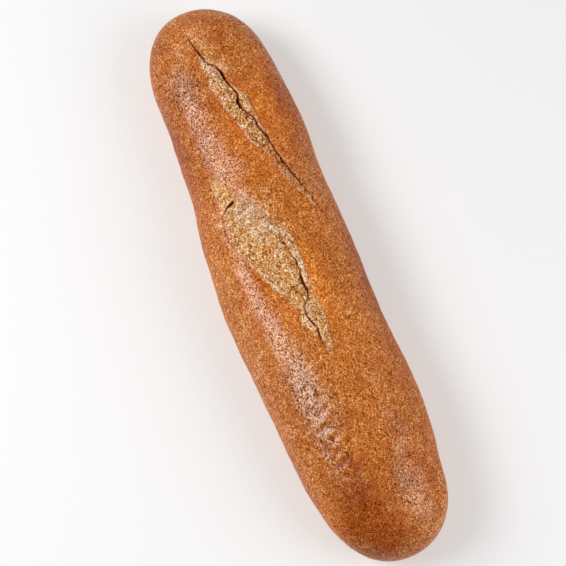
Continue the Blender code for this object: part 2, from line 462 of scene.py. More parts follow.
# %% Start the relief with lumps and grain
SWELLING, SWELLING_SIZE = 0.45 * MM, 26
CRUST_GRAIN = [(0.16, 7, 4), (0.10, 2.6, 5)]        # height and size in millimetres, and seed
relief = lumps(x, angle)
relief += SWELLING * noise_at(base, SWELLING_SIZE, seed=3)
for height, size, seed in CRUST_GRAIN:
    relief += height * MM * noise_at(base, size, seed) * (1 - in_crumb)
print("lumps and grain from", (relief.min() / MM).round(2), "to", (relief.max() / MM).round(2), "mm")

# %% [markdown]
# ## Cracks
# Where the blade went deepest, the roll cracked, and the lip that the blade undercut lifted
# in the oven. A boolean could cut a slot, but its walls would be sharp, and the skin would
# stay level beside it. So each crack is a rounded groove that fades out past its ends, with
# a raised lip on its +Y side and a slight dip on the other. The pit is a plain hole, so it
# has no lip.

# %% Sink the cracks and raise their lips
CRACK_ROUNDNESS, CRACK_END = 1.6, 2 * MM
NARROWEST = 0.05 * MM
LIP_SHARE, LIP_REACH = 0.5, 4 * MM          # the lip's height is a share of the crack's depth
DIP_SHARE, DIP_REACH = 0.15, 2.2 * MM
for name, crack in CRACKS.items():
    wide = np.maximum(line_at(crack["x"], crack["half_width"], x), NARROWEST)
    deep = np.maximum(line_at(crack["x"], crack["depth"], x), 0)
    across = crack_distance(crack, x, jagged)
    groove = np.clip(1 - (across / wide) ** CRACK_ROUNDNESS, 0, 1)
    strength = np.where(from_above, np.exp(-(beyond(crack, x) / CRACK_END) ** 2), 0)
    relief -= deep * groove * strength
    lip_side = crack_offset(crack, x, jagged) > 0
    lip = np.where(lip_side, LIP_SHARE, -DIP_SHARE) * deep
    fall = np.where(lip_side, LIP_REACH, DIP_REACH)
    if name != "pit":
        relief += lip * np.exp(-(np.maximum(across - wide, 0) / fall) ** 2) * strength
print("the relief now goes down to", (relief.min() / MM).round(2), "mm")

# %% [markdown]
# ## Wrinkles, flap and dents
# A roll settles as it cools, and its skin wrinkles at the near end. Wrinkles are noise that
# is stretched along their own slanting line. The far end of the middle slash has a broad flap
# of skin that lifted beside the cut, with a dent below it. Proportional editing would drag
# such wide, soft shapes with the mouse, and its falloff is just what one hill, or one hollow,
# adds to the relief here.

# %% Wrinkle the near end
WRINKLE_TURN = math.radians(67)             # the wrinkles' slant from the roll's length
WRINKLE_STRETCH, WRINKLE_SIZE = 0.3, 3.2
WRINKLE_HEIGHT, WRINKLE_PLACE = 1.1 * MM, (90, -12, 18, 9)
along_wrinkle = x * math.cos(WRINKLE_TURN) - y * math.sin(WRINKLE_TURN)
across_wrinkle = x * math.sin(WRINKLE_TURN) + y * math.cos(WRINKLE_TURN)
wrinkle_space = np.stack([across_wrinkle, along_wrinkle * WRINKLE_STRETCH, base[:, 2]], axis=1)
wrinkle = noise_at(wrinkle_space, WRINKLE_SIZE, seed=6, octaves=3)
wrinkled = hill(*WRINKLE_PLACE)
relief += WRINKLE_HEIGHT * wrinkle * wrinkled
print("wrinkles up to", (np.abs(wrinkle * wrinkled).max() * WRINKLE_HEIGHT / MM).round(2), "mm high")

# %% Lift the flap and press the dents
# Place along, place across, reach along, reach across and height.
SWELLS = {
    "flap beside the cut": (-50, 1, 17, 9, 2.2),
    "dent below the flap": (-50, -25, 16, 7, -0.9),
    "shoulder of the patch": (6, -28, 16, 7, 0.8),
    "flat near the far end": (-76, -18, 20, 7, -0.25),
    "flat near the wrinkles": (68, -17, 24, 7, -0.25),
}
for name, (*place, height) in SWELLS.items():
    relief += height * MM * hill(*place)
    print(name + ":", height, "mm")

# %% [markdown]
# ## The torn edge beside the middle crack
# The crust tore off along the middle crack, and its edge stands up there as a smooth cream
# stub. A separate strip would show a seam, so it is a line with a width, as a crack is, but
# raised from the same skin. The blade also smeared some
# crumb smooth. All such calm places are kept as one mask, which flattens the knobs there
# later.

# %% Raise the torn edge and mark the calm places
RIDGE = {
    "x": [-21, -16, -13, -9.6, -4, 0, 3.5, 8, 12, 19],
    "y": [-4.6, -1.7, 0.4, 2.2, 2.6, 3.0, 3.1, 2.9, 2.5, 1.9],
    "half_width": [0.5, 1.3, 1.4, 1.7, 1.7, 1.6, 1.6, 1.5, 1.2, 0.6],
}
RIDGE_HEIGHT, RIDGE_CALM = 0.9 * MM, 0.6
CREAM_COVER, CREAM_GAPS, CREAM_SIZE = 0.8, 1.4, 2.2     # the cream skin has gaps in it
CALM_PLACES = [(-54, -17, 12, 10), (34, -4, 5, 3)]
ridge_across = crack_distance(RIDGE, x, jagged) / line_at(RIDGE["x"], RIDGE["half_width"], x)
relief += RIDGE_HEIGHT * np.exp(-ridge_across ** 2) * from_above
broken = here_and_there(CREAM_COVER, CREAM_GAPS, CREAM_SIZE, seed=13, octaves=2)
cream = np.exp(-ridge_across ** 4) * from_above * broken
calm = np.max([hill(*place) for place in CALM_PLACES] + [RIDGE_CALM * cream], axis=0)
print("calm places:", int((calm > 0.5).sum()), "vertices")

# %% [markdown]
# ## Torn crumb
# Crumb that tears in the oven swells out and dries as a mass of small knobs with creases
# between them. A Voronoi pattern has just that form: each of its cells has a middle, and the
# creases run where two middles are equally near. Two sizes of it, bent by noise, look torn
# and not tiled. Slow folds, a fine grit and thin seams go over them.

# %% Form the knobs of the crumb
BIG_KNOB, SMALL_KNOB = 2.3, 0.85
BIG_SHARE = 0.4                             # the rest of the height is the small knobs'
CALM_KNOB, CALM_SHARE = 0.5, 0.8            # a calm place keeps an even height
KNOB_MARGIN = 1.5 * MM                      # knobs are worked out a little past the crumb
near_crumb = torn > -KNOB_MARGIN
big, big_lot = knobs_at(base[near_crumb], BIG_KNOB, seed=8)
small, small_lot = knobs_at(base[near_crumb], SMALL_KNOB, seed=12)
knob, knob_lot = np.zeros_like(x), np.zeros_like(x)
knob[near_crumb] = BIG_SHARE * big + (1 - BIG_SHARE) * small
knob_lot[near_crumb] = (big_lot + small_lot) / 2
knob += (CALM_KNOB - knob) * CALM_SHARE * calm
print("knobs on", int(near_crumb.sum()), "vertices, mean height", knob[near_crumb].mean().round(2))

# %% Cut thin seams between the folds
SEAM_SIZE, SEAM_WIDTH = 4.5, 0.07           # a seam runs where noise crosses 0
SEAM_COVER, SEAM_GAPS, SEAM_GAP_SIZE = 0.6, 2, 7
SEAM_CUT = 0.9                              # the share of a knob that a seam takes away
seam = np.exp(-(noise_at(base, SEAM_SIZE, seed=21) / SEAM_WIDTH) ** 2)
seam *= here_and_there(SEAM_COVER, SEAM_GAPS, SEAM_GAP_SIZE, seed=22)
knob *= 1 - SEAM_CUT * seam
print("seams on", int(((seam > 0.5) & (torn > 0)).sum()), "vertices of the crumb")

# %% Swell the crumb and roughen it
DOME_HEIGHT, DOME_REACH, DOME_SIDE_REACH = 1.3 * MM, 6 * MM, 9 * MM
STEP_HEIGHT, STEP_REACH = 0.4 * MM, 0.8 * MM
PATCH_START, PATCH_END = -60 * MM, 24 * MM
FOLD_HEIGHT, FOLD_SIZE = 0.7 * MM, 4.5
GRIT_HEIGHT, GRIT_SIZE = 0.28 * MM, 0.9
KNOB_RISE, KNOB_LEVEL, SEAM_DEPTH = 1.5 * MM, 0.35, 0.5 * MM
CALM_SMOOTHING = 0.5                        # the share of the roughness that a calm place loses
# How far in from the patch's +Y side a place is: the torn skin stays low there.
patch = TORN_BANDS["middle_patch"]
from_side = line_at(patch["x"], patch["right"], x) - y
from_side = np.where((x > PATCH_START) & (x < PATCH_END), from_side, FAR_OFF)
dome = DOME_HEIGHT * smooth_step(torn / DOME_REACH) * smooth_step(from_side / DOME_SIDE_REACH)
step = STEP_HEIGHT * smooth_step(torn / STEP_REACH)
rough = FOLD_HEIGHT * noise_at(base, FOLD_SIZE, seed=7, octaves=3)
rough += KNOB_RISE * (knob - KNOB_LEVEL)
rough += GRIT_HEIGHT * noise_at(base, GRIT_SIZE, seed=16) - SEAM_DEPTH * seam
relief += ((dome + step) * (1 - calm) + rough * (1 - CALM_SMOOTHING * calm)) * in_crumb
print("the crumb swells up to", ((dome + step).max() / MM).round(2), "mm")

# %% [markdown]
# ## Rim and pebbles
# The crumb's border is a thin pale rim that curls up, with a narrow groove between it and
# the crust. Bits of dough dried pale along the left edge of the middle patch. They could be
# small balls, but they are stuck fast, so they rise from the skin. Rim and pebbles are
# small, but without them the crumb would look painted on.

# %% Curl the rim and add the pebbles
RIM_HEIGHT, GROOVE_DEPTH, BORDER = 0.25 * MM, 0.35 * MM, 0.5 * MM
RIM_COVER, RIM_GAPS, RIM_SIZE = 0.5, 1.5, 2.5
PEBBLE_HEIGHT, PEBBLE_WIDTH = 0.6 * MM, 0.8         # its width for each unit of its length
# Place along, place across, and reach along.
PEBBLES = [(-30.7, -26.8, 2.2), (-23, -26.8, 1.7), (-13, -20.6, 1.2), (-1.6, -16.3, 1.4),
           (5.3, -12.7, 1.4), (9.6, -11.1, 1.5), (17, -8.2, 1.2)]
rim = np.exp(-((torn - BORDER) / BORDER) ** 2)
rim *= here_and_there(RIM_COVER, RIM_GAPS, RIM_SIZE, seed=10)
edge_groove = np.exp(-((torn + BORDER) / BORDER) ** 2)
relief += (RIM_HEIGHT * rim - GROOVE_DEPTH * edge_groove * (1 - calm)) * from_above
pebbles = sum(hill(along, across, reach, PEBBLE_WIDTH * reach) for along, across, reach in PEBBLES)
relief += PEBBLE_HEIGHT * pebbles
print("relief from", (relief.min() / MM).round(2), "to", (relief.max() / MM).round(2), "mm")

# %% [markdown]
# ## Places that baked or dried differently, and painted light and shade
# No crust bakes evenly. High places brown, stretched ones stay pale, some shine and some
# are dull, and flour from the table sticks here and there. Some of the same spots also paint
# light and shade into the colour: darker flanks and a darker near end where shade falls, and
# paler and pinker places where sheen falls. All of this could be painted by hand as colours.
# Four plain lists of soft spots do the same and stay easy to change: each row has its place
# along and across, its two reaches in millimetres, and how much.

# %% Browner places, and paler ones below 0: partly the crust's own tone, partly painted shade on the flanks and near end, and painted sheen on some pale places
TONE_AND_SHADE = [
    (128, -13, 20, 15, 0.9), (141, -4, 10, 10, 0.3), (148, 0, 7, 30, 0.2),
    (-107, -16, 13, 12, 0.35), (-134, -20, 9, 9, 0.6), (142, 17, 8, 7, -0.6),
    (120, 14, 14, 8, -0.3), (95, 20, 8, 5, 0.3), (-121, 0, 10, 4, -0.8),
    (-134, -4, 9, 6, -0.5), (-124, -12, 10, 5, -0.3), (-107, 5, 7, 5, -0.7),
    (-46, -14, 13, 9, -0.5), (-19, 5, 5, 3.5, -0.6), (-30, -1, 9, 4, -0.8),
    (20, 4, 14, 4, -0.75), (7, 17, 22, 6, 0.4), (20, 33, 66, 7, 0.6),
    (-88, 30, 32, 8, 0.65), (96, 12, 14, 12, 0.25), (34, 18, 4, 2, -0.8),
    (22, -34, 48, 8, -0.45), (-60, -24, 12, 4, -0.3), (8, -17, 12, 4, 0.45),
    (20, -22, 26, 4, 0.25), (78, -29, 11, 4, -0.35), (44, -10, 8, 4, -0.25),
    (-90, 25, 14, 4, 0.3), (-76, -32, 34, 7, 0.85),
]
print(len(TONE_AND_SHADE), "browner or paler places")

# %% More golden places, some of them painted light on slopes that face the lamp, and dustier ones below 0, some of them painted sheen
GOLD_AND_LIGHT = [
    (-70, 13, 28, 12, 0.8), (16, 6, 18, 4, 1.0), (-74, -34, 32, 8, 0.8),
    (20, 12, 24, 7, 0.4), (-88, 27, 28, 7, 0.9), (136, -4, 13, 8, 0.7),
    (128, -28, 14, 6, 0.9), (68, -17, 34, 8, -0.9), (8, -16, 14, 4, 0.8),
    (118, 10, 14, 7, -0.75), (80, -4, 24, 6, -0.45), (-80, 3, 24, 8, 0.5),
    (-72, -21, 22, 6, -0.6), (-107, -17, 13, 10, -0.9), (26, -11, 10, 5, 0.6),
    (104, -2, 14, 8, 0.5),
]
print(len(GOLD_AND_LIGHT), "more golden or dustier places")

# %% Shinier places, and duller ones below 0
SHINE = [
    (74, -17, 26, 8, 0.25), (-84, -18, 28, 6, 0.2), (14, -23, 20, 5, 0.1),
    (8, -17, 12, 4, -0.4), (38, -14, 18, 4, -0.25), (98, -13, 8, 6, -0.3),
    (128, -16, 14, 12, -0.33), (-38, -5, 12, 4, -0.4), (20, 38, 120, 7, -0.4),
    (20, -39, 120, 5, -0.25),
]
print(len(SHINE), "shinier or duller places")

# %% Places dusted with flour, and a few pale places of painted sheen at the far end and beside the middle patch
FLOUR_AND_SHEEN = [
    (-38, -27, 4, 1.4, 0.7), (-110, -2, 7, 3, 0.8), (-30, -11, 13, 8, 1.1),
    (-19, -7, 9, 5, 0.7), (-108, 4, 5, 4, 0.75), (-126, -13, 9, 5, 0.6),
    (104, 15, 6, 3, 0.6), (86, 14, 6, 3, 0.55), (69, 15, 5, 2.5, 0.55),
    (49, 10, 6, 4, 0.45), (60, 0, 7, 3, 0.35), (119, 11, 8, 5, 0.55),
]
print(len(FLOUR_AND_SHEEN), "floured places")


# %% Add up the places
# The furrows between the wrinkles are darkened as painted shade, and a few blotches round them baked
# browner.
WRINKLE_SHADE, BLOTCH_BROWNING = 1.8, 2.4
BLOTCH_SIZE, BLOTCH_START, BLOTCH_PLACE = 2.6, 0.1, (97, -13, 20, 9)


def spots(rows):
    """All the soft spots of a list, added up for each vertex."""
    return sum(amount * hill(*place) for *place, amount in rows)


blotches = np.clip(noise_at(base, BLOTCH_SIZE, seed=23) - BLOTCH_START, 0, 1)
tone_and_shade = spots(TONE_AND_SHADE) + WRINKLE_SHADE * np.clip(-wrinkle, 0, 1) * wrinkled
tone_and_shade += BLOTCH_BROWNING * blotches * hill(*BLOTCH_PLACE)
flour_and_sheen = spots(FLOUR_AND_SHEEN) + pebbles
print("tone from", tone_and_shade.min().round(2), "to", tone_and_shade.max().round(2))

# %% [markdown]
# ## The finished skin
# Every vertex moves outwards by its relief, and nothing sinks below the table. The whole is
# then pressed into the fixed model's box, so that both have the same size to the last
# digit. The skin keeps its distances and places as attributes, one number for each vertex,
# which the material reads where a texture image would otherwise be needed.

# %% Move the vertices and press the skin into the model's box
shaped = base + outward * relief[:, None]
shaped[:, 2] = np.maximum(shaped[:, 2], 0)
low, high = shaped.min(axis=0), shaped.max(axis=0)
shaped = box_low + (shaped - low) / (high - low) * box_size
skin.data.vertices.foreach_set("co", shaped.ravel())
skin.data.update()
bpy.ops.object.shade_smooth()
print("the form before it was pressed, in mm:", ((high - low) / MM).round(1))

# %% Store what the material needs, and tie the skin to the model
BROWNED_TO = -20 * MM                       # only the patch's far end browned along its side
browned_end = np.where(x < BROWNED_TO, from_side, FAR_OFF)
stored = {
    "torn": torn / MM,
    "gap": gap / MM,
    "knob": knob,
    "knob_lot": knob_lot,
    "rim": rim,
    "side": browned_end / MM,
    "toast": toasted(x, y),
    "cream": cream,
    "height": shaped[:, 2] / MM,
    "tone_and_shade": tone_and_shade,
    "gold_and_light": spots(GOLD_AND_LIGHT),
    "shine": spots(SHINE),
    "flour_and_sheen": flour_and_sheen,
}
for name, values in stored.items():
    layer = skin.data.attributes.new(name, "FLOAT", "POINT")
    layer.data.foreach_set("value", values)
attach(skin, "root")
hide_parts("roll")
print("skin:", sum(len(face.vertices) - 2 for face in skin.data.polygons), "triangles")

# %% [markdown]
# ## Writing shader maths as sums
# A procedural material is a network of small nodes, and drawing it by hand gets long. Here
# one class wraps a socket, so that an expression such as 1 - mask adds the Math node that
# does it. A second class adds any other node, with its settings first and its sockets next.


# %% A value that varies over the surface
class Value:
    """A number or colour that varies from place to place: the output socket that carries it."""

    def __init__(self, recipe, socket):
        self.recipe = recipe
        self.socket = socket

    def maths(self, operation, first, second):
        """One Math node, on two values or on a value and a number."""
        return self.recipe.node("ShaderNodeMath", {"operation": operation}, [first, second])

    def __add__(self, other):
        return self.maths("ADD", self, other)

    def __sub__(self, other):
        return self.maths("SUBTRACT", self, other)

    def __rsub__(self, other):
        return self.maths("SUBTRACT", other, self)

    def __mul__(self, other):
        return self.maths("MULTIPLY", self, other)

    __radd__, __rmul__ = __add__, __mul__

    def above(self, start, stop):
        """0 below start, 1 above stop, and a smooth rise between them."""
        settings = {"interpolation_type": "SMOOTHSTEP"}
        return self.recipe.node("ShaderNodeMapRange", settings, [self, start, stop])


print("values can now be added, subtracted and multiplied")


# %% A recipe that adds nodes
class Recipe:
    """The nodes of a material or of the sky, added one at a time before its last shader."""

    def __init__(self, owner, last):
        owner.use_nodes = True
        self.name = owner.name
        self.tree = owner.node_tree
        self.last = self.tree.nodes[last]

    def node(self, kind, settings, values, output=0):
        """Add any node: its settings first, then the values or links of its sockets."""
        made = self.tree.nodes.new(kind)
        for name, setting in settings.items():
            setattr(made, name, setting)
        named = values.items() if isinstance(values, dict) else enumerate(values)
        for name, value in named:
            self.feed(made.inputs[name], value)
        return Value(self, made.outputs[output])

    def feed(self, socket, value):
        """Link a socket where the value varies, and set it where it doesn't."""
        if isinstance(value, Value):
            self.tree.links.new(value.socket, socket)
        else:
            socket.default_value = value

    def finish(self, values):
        """Feed the last shader, and say how many nodes that took."""
        for name, value in values.items():
            self.feed(self.last.inputs[name], value)
        print(self.name + ":", len(self.tree.nodes), "nodes")

    def spot(self):
        """The place on the piece, so that a pattern stays put on it."""
        return self.node("ShaderNodeTexCoord", {}, {}, "Object")

    def attribute(self, name):
        """A number stored on the mesh."""
        return self.node("ShaderNodeAttribute", {"attribute_name": name}, {}, "Fac")


print("a recipe can", [name for name in vars(Recipe) if name[0] != "_"])


# %% Patterns and colours
def noise_in(recipe, size, detail=2.0, roughness=0.5, output="Fac"):
    """Noise from 0 to 1 with lumps of the given size in millimetres."""
    values = {"Vector": recipe.spot(), "Scale": 1 / (size * MM), "Detail": detail,
              "Roughness": roughness}
    return recipe.node("ShaderNodeTexNoise", {}, values, output)


def cells_in(recipe, size, bend, channel):
    """A random number from 0 to 1 in each small cell; a channel of 0, 1 or 2 picks the lot."""
    swirl = noise_in(recipe, size, detail=1.0, output="Color")
    shift = recipe.node("ShaderNodeVectorMath", {"operation": "SCALE"},
                        {0: swirl, "Scale": bend * size * MM})
    place = recipe.node("ShaderNodeVectorMath", {"operation": "ADD"}, [recipe.spot(), shift])
    cell_values = {"Vector": place, "Scale": 1 / (size * MM)}
    lots = recipe.node("ShaderNodeTexVoronoi", {"feature": "F1"}, cell_values, "Color")
    return recipe.node("ShaderNodeSeparateColor", {}, [lots], channel)


def blend(mask, first, second):
    """The first colour where the mask is 0, and the second where it is 1."""
    settings = {"data_type": "RGBA"}
    return mask.recipe.node("ShaderNodeMix", settings, {0: mask, 6: first, 7: second}, 2)


def tint(mask, base, factors):
    """The base colour, with its red, green and blue multiplied where the mask is 1."""
    settings = {"data_type": "RGBA", "blend_type": "MULTIPLY"}
    return mask.recipe.node("ShaderNodeMix", settings, {0: mask, 6: base, 7: (*factors, 1)}, 2)


def colour(red, green, blue):
    """A display colour of 0 to 255 as the linear colour that a shader takes (the sRGB curve)."""
    linear = []
    for level in (red, green, blue):
        share = level / 255
        linear.append(share / 12.92 if share <= 0.04045 else ((share + 0.055) / 1.055) ** 2.4)
    return (*linear, 1.0)


print("mid grey for a shader:", [round(level, 3) for level in colour(128, 128, 128)])

# %% [markdown]
# ## One material for crust and crumb
# Whole-wheat crust is golden brown and torn crumb is paler, dry and rough. Two materials
# would meet in steps along the faces' edges. One material that holds both can follow a
# finer line: the torn distance on the mesh says where one turns into the other, and noise
# is added to it first, so the border comes out ragged.

# %% Tell crust, crumb and cracks apart
BROWNED_REACH = 7                   # millimetres in from the patch's side
FINE_FRAY, BROWNED_FRAY = 1.4, 6    # how far, in millimetres, the border wanders
crust_material = bpy.data.materials.new("browned_crust")
crust = Recipe(crust_material, "Principled BSDF")
on_mesh = {name: crust.attribute(name) for name in stored}
browned_side = 1 - on_mesh["side"].above(0, BROWNED_REACH)
fine_fray = (noise_in(crust, 0.9) - 0.5) * FINE_FRAY
browned_fray = (noise_in(crust, 2.0) - 0.5) * BROWNED_FRAY * browned_side
crumb_mask = (on_mesh["torn"] + (fine_fray + browned_fray)).above(-0.15, 0.3)
crack_mask = 1 - on_mesh["gap"].above(-0.3, 0.1)
print("attributes in use:", len(on_mesh))

# %% [markdown]
# ## The crust's own brown, with painted light and shade
# Crust browns where the oven's heat strikes it, so it is deepest on top and paler low on
# the sides, while the base browns on the tray. It starts as a slow mix of three browns. The
# stored places then tint it, with the crust's own tones and also with painted shade, painted
# light and painted sheen, and a tint multiplies, so whatever was under it still shows.

# %% Mix the crust's browns
BAKED, WELL_BAKED = colour(204, 108, 21), colour(189, 92, 14)
LIGHTLY_BAKED, LIGHT_SHARE = colour(209, 119, 30), 0.5
# The browner tint also paints shade, and the paler tint also paints sheen.
BROWNER_AND_SHADED, PALER_AND_SHEEN = (0.57, 0.4, 0.26), (1.25, 1.8, 4.0)
# The more golden tint also paints light on slopes facing the lamp, and the dustier tint also paints
# sheen.
MORE_GOLDEN_AND_LIT, DUSTIER_AND_SHEEN = (1.17, 1.08, 0.75), (0.82, 0.96, 1.7)
PALE_FLANK = (1.14, 1.5, 3.2)
FLANK_FOOT, FLANK_TOP, FLANK_WANDER = 4, 23, 16     # heights in millimetres
FLANK_DULLING = 0.8                 # how much of the gilding and gloss a pale flank takes away
BROWNED_BASE, BASE_SHARE = (0.6, 0.5, 0.4), 0.8
BASE_FOOT, BASE_TOP = 0.3, 2.2
low_line = on_mesh["height"] + (noise_in(crust, 9, 3) - 0.5) * FLANK_WANDER
low_side = 1 - low_line.above(FLANK_FOOT, FLANK_TOP)
high_share = 1 - low_side * FLANK_DULLING
underside = 1 - on_mesh["height"].above(BASE_FOOT, BASE_TOP)
patches = noise_in(crust, 6, 3)
gilded_and_lit = on_mesh["gold_and_light"].above(0, 1) * high_share
dusty_and_sheen = (0 - on_mesh["gold_and_light"]).above(0, 1)
golden = blend(noise_in(crust, 34).above(0.3, 0.7), BAKED, WELL_BAKED)
golden = blend(patches.above(0.35, 0.65) * LIGHT_SHARE, golden, LIGHTLY_BAKED)
# Painted shade and painted sheen: this tint darkens shaded flanks and the near end, and pales places
# where sheen falls.
golden = tint(on_mesh["tone_and_shade"].above(0, 1), golden, BROWNER_AND_SHADED)
golden = tint((0 - on_mesh["tone_and_shade"]).above(0, 1), golden, PALER_AND_SHEEN)
# Partly the crust's own gold and dust, partly painted light on lit slopes and painted sheen where the
# highlight falls.
golden = tint(gilded_and_lit, golden, MORE_GOLDEN_AND_LIT)
golden = tint(dusty_and_sheen, golden, DUSTIER_AND_SHEEN)
golden = tint(low_side, golden, PALE_FLANK)
golden = tint(underside * BASE_SHARE, golden, BROWNED_BASE)
print("nodes for the browns:", len(crust.tree.nodes))

# %% [markdown]
# ## Flecks of bran and flour in the crust
# Whole-wheat flour holds ground bran, so the crust is peppered with flecks under half a
# millimetre wide: dark ones, pale ones that catch the light, and a few larger seeds and
# scales of bran. A Voronoi texture gives every small cell one random number, and the cells
# with the lowest and highest numbers become the flecks. Soft noise under them mottles the
# rest.

# %% Pepper the crust with flecks
FLECK_SIZE, BRAN_SIZE, SEED_SIZE = 0.43, 0.8, 0.75
DARK_MOTTLE, LIGHT_MOTTLE, MOTTLE_SHARE = (0.7, 0.55, 0.4), (1.25, 1.5, 1.9), 0.35
DARK_FLECK, FLECK_SHARE, GILDED_AND_LIT_LOSS = (0.38, 0.22, 0.08), 0.9, 0.35
PALE_FLECK, FLANK_LOSS = (1.75, 3.3, 17.0), 0.5
DARK_BRAN, BRAN_SHARE = (0.3, 0.2, 0.12), 0.9
PALE_SEED = (1.25, 1.6, 2.6)
drift = (noise_in(crust, 2.4, 3) - 0.5) * 0.5           # gathers the flecks here and there
mottle = noise_in(crust, 1.3, 3, 0.65)
fleck = cells_in(crust, FLECK_SIZE, 0.3, 0) + drift * 0.2
bran = cells_in(crust, BRAN_SIZE, 1.0, 1) + drift - dusty_and_sheen * 0.12
seeds = cells_in(crust, SEED_SIZE, 0.8, 2) + (noise_in(crust, 7, 3) - 0.5) * 0.9
dark_fleck = (1 - fleck.above(0.05, 0.42)) * (FLECK_SHARE - GILDED_AND_LIT_LOSS * gilded_and_lit)
gathered = 0.5 + 0.5 * patches.above(0.35, 0.6)
pale_fleck = fleck.above(0.66, 0.96) * gathered * (1 - FLANK_LOSS * low_side)
golden = tint((1 - mottle.above(0.34, 0.52)) * MOTTLE_SHARE, golden, DARK_MOTTLE)
golden = tint(mottle.above(0.50, 0.68) * MOTTLE_SHARE, golden, LIGHT_MOTTLE)
golden = tint(dark_fleck, golden, DARK_FLECK)
golden = tint(pale_fleck, golden, PALE_FLECK)
golden = tint(seeds.above(0.95, 1.1), golden, PALE_SEED)
golden = tint((1 - bran.above(-0.02, 0.06)) * BRAN_SHARE, golden, DARK_BRAN)
print("nodes with the flecks:", len(crust.tree.nodes))

# %% [markdown]
# ## Crumb
# The crumb didn't face the heat until the cut opened, so it is pale cream. The stored height
# of each knob paints a highlight on its top and shade in its creases, and the knob's lot
# makes some knobs paler than their neighbours. Fine tufts stand for the torn fibres, too
# small for the mesh. Where the patch's skin dried, the crust's brown comes back.

# %% Colour the crumb
WARM_CRUMB, PALE_CRUMB = colour(232, 160, 80), colour(252, 202, 136)
GOLDEN_CRUMB, GOLDEN_SHARE = colour(222, 144, 66), 0.6
TOASTED = colour(230, 154, 70)
# A painted highlight for the knobs' tops, and painted shade for their creases.
KNOB_TOP_HIGHLIGHT, TOP_SHARE = colour(255, 224, 168), 0.6
CREASE_SHADE, CREASE_SHADE_SHARE = colour(140, 62, 10), 0.9
SMOOTH_CREAM, CREAM_SHARE = colour(252, 208, 164), 0.8
DRY_RIM, RIM_SHARE = colour(250, 216, 174), 0.7
BROWNED_SHARE = 0.5
DARK_TUFT, LIGHT_TUFT, FLAKE = (0.36, 0.2, 0.06), (1.5, 1.95, 3.0), (1.08, 1.2, 1.6)
TUFT_SIZE = 0.42
knob_height = on_mesh["knob"]
tufts = cells_in(crust, TUFT_SIZE, 0.3, 0)
crumb = blend(on_mesh["knob_lot"].above(0.2, 0.8), WARM_CRUMB, PALE_CRUMB)
crumb = blend(noise_in(crust, 4, 3).above(0.46, 0.64) * GOLDEN_SHARE, crumb, GOLDEN_CRUMB)
crumb = blend(on_mesh["toast"], crumb, TOASTED)
# Painted highlight on the knobs' tops, then painted shade in their creases.
crumb = blend(knob_height.above(0.35, 0.75) * TOP_SHARE, crumb, KNOB_TOP_HIGHLIGHT)
crumb = blend((1 - knob_height.above(0.06, 0.34)) * CREASE_SHADE_SHARE, crumb, CREASE_SHADE)
crumb = blend(on_mesh["cream"] * CREAM_SHARE, crumb, SMOOTH_CREAM)
crumb = blend(on_mesh["rim"] * RIM_SHARE, crumb, DRY_RIM)
flaky = tufts.above(0.6, 0.95) * on_mesh["toast"].above(0, 0.5) * (1 - on_mesh["rim"])
crumb = tint(1 - tufts.above(0.05, 0.42), crumb, DARK_TUFT)
crumb = tint(tufts.above(0.55, 0.92), crumb, LIGHT_TUFT)
crumb = tint(flaky, crumb, FLAKE)
crumb = blend(browned_side * BROWNED_SHARE, crumb, golden)
print("nodes with the crumb:", len(crust.tree.nodes))

# %% [markdown]
# ## Flour and sheen, specks and dark cracks
# Flour lies as a thin uneven veil, and the same veil paints sheen on a few places. Laid on as
# a flat white it would hide the flecks, so most of it is a tint, and only a part of it is
# blended over, less on the dark flecks. Specks of bran show in the crumb. A crack's darkness
# is painted shade, as hardly any light gets in there, and it is brown rather than black,
# because the little that does comes back off bread.

# %% Join crust and crumb, and add flour and painted sheen, specks, and painted shade in the cracks
# The flour veil and its white also paint sheen on a few places.
FLOUR_AND_SHEEN_VEIL, VEIL_SHARE = (1.15, 1.4, 2.1), 0.8
FLOUR_AND_SHEEN_WHITE, WHITE_SHARE = colour(246, 206, 168), 0.55
SPECK, SPECK_SHARE, SPECK_SIZE = (0.5, 0.36, 0.24), 0.75, 0.6
UNEVENNESS, LOW_CRUMB_LOSS = 1.6, 0.5
# Painted shade: the dark browns that colour the cracks.
CRACK_SHADE, CRACK_EDGE_SHADE = colour(52, 14, 0), colour(134, 50, 4)
floured_and_sheen = (on_mesh["flour_and_sheen"] + (mottle - 0.5) * UNEVENNESS).above(0.3, 1.0)
speckled = fleck.above(0.05, 0.35) * (0.5 + 0.5 * tufts.above(0.1, 0.5))
low_crumb = crumb_mask * (1 - knob_height.above(0.2, 0.6))
speckled = speckled * (1 - low_crumb * LOW_CRUMB_LOSS)
specks = (1 - cells_in(crust, SPECK_SIZE, 0.6, 1).above(0.08, 0.3)) * crumb_mask
surface = blend(crumb_mask, golden, crumb)
# Flour, and painted sheen where a few of the places lie.
surface = tint(floured_and_sheen * VEIL_SHARE, surface, FLOUR_AND_SHEEN_VEIL)
surface = blend(floured_and_sheen * speckled * WHITE_SHARE, surface, FLOUR_AND_SHEEN_WHITE)
surface = tint(specks * SPECK_SHARE, surface, SPECK)
# Painted shade: the crack is coloured dark where little light gets in.
painted_crack_shade = blend(on_mesh["gap"].above(-0.7, -0.4), CRACK_SHADE, CRACK_EDGE_SHADE)
surface = blend(crack_mask, surface, painted_crack_shade)
print("nodes with the flour and cracks:", len(crust.tree.nodes))

# %% [markdown]
# ## Gloss and the finest grain
# Baked crust has a waxy sheen, but only on the pale flecks, which stand a little proud: the
# dark ones are dull. A clear coat on top gives that sheen without washing out the brown,
# and its weight follows the flecks. The shader's own gloss is almost off for the same
# reason. Grain under half a millimetre is only a bump, because faces can't be so small.

